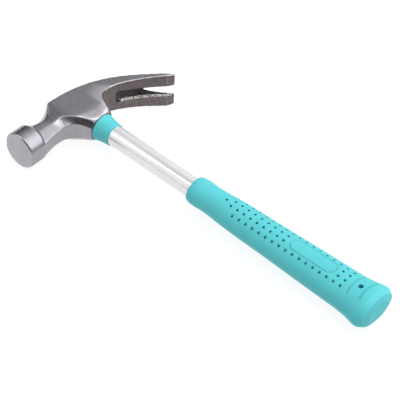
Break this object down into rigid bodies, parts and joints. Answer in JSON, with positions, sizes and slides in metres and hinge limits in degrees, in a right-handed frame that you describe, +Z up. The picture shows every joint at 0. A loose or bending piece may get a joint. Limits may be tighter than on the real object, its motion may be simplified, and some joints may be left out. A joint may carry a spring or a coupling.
{
  "type": "claw hammer",
  "caption": "Small curved-claw hammer: forged steel head with round striking face and nail slot, tubular steel handle, flared rubber grip.",
  "frame": {"origin": "middle of the space the hammer takes up, on the surface it lies on", "axes": "+X down the handle from the head to the butt, +Y from the striking face to the claws, +Z up through the cheeks, with the hammer lying on its side"},
  "size_m": [0.2424, 0.1054, 0.025],
  "materials": {
    "forged_steel": "ground and satin polished on the outside, raw dark forging under the claws",
    "chromed_tube": "bright chrome plate",
    "teal_rubber": "soft matte moulded rubber",
    "plug_steel": "plain turned steel",
    "plug_plastic": "plain moulded plastic"
  },
  "bodies": {
    "root": {"head": "forged_steel", "handle_tube": "chromed_tube", "tube_top_plug": "plug_steel", "tube_end_plug": "plug_plastic", "collar": "teal_rubber", "grip": "teal_rubber"}
  },
  "joints": []
}
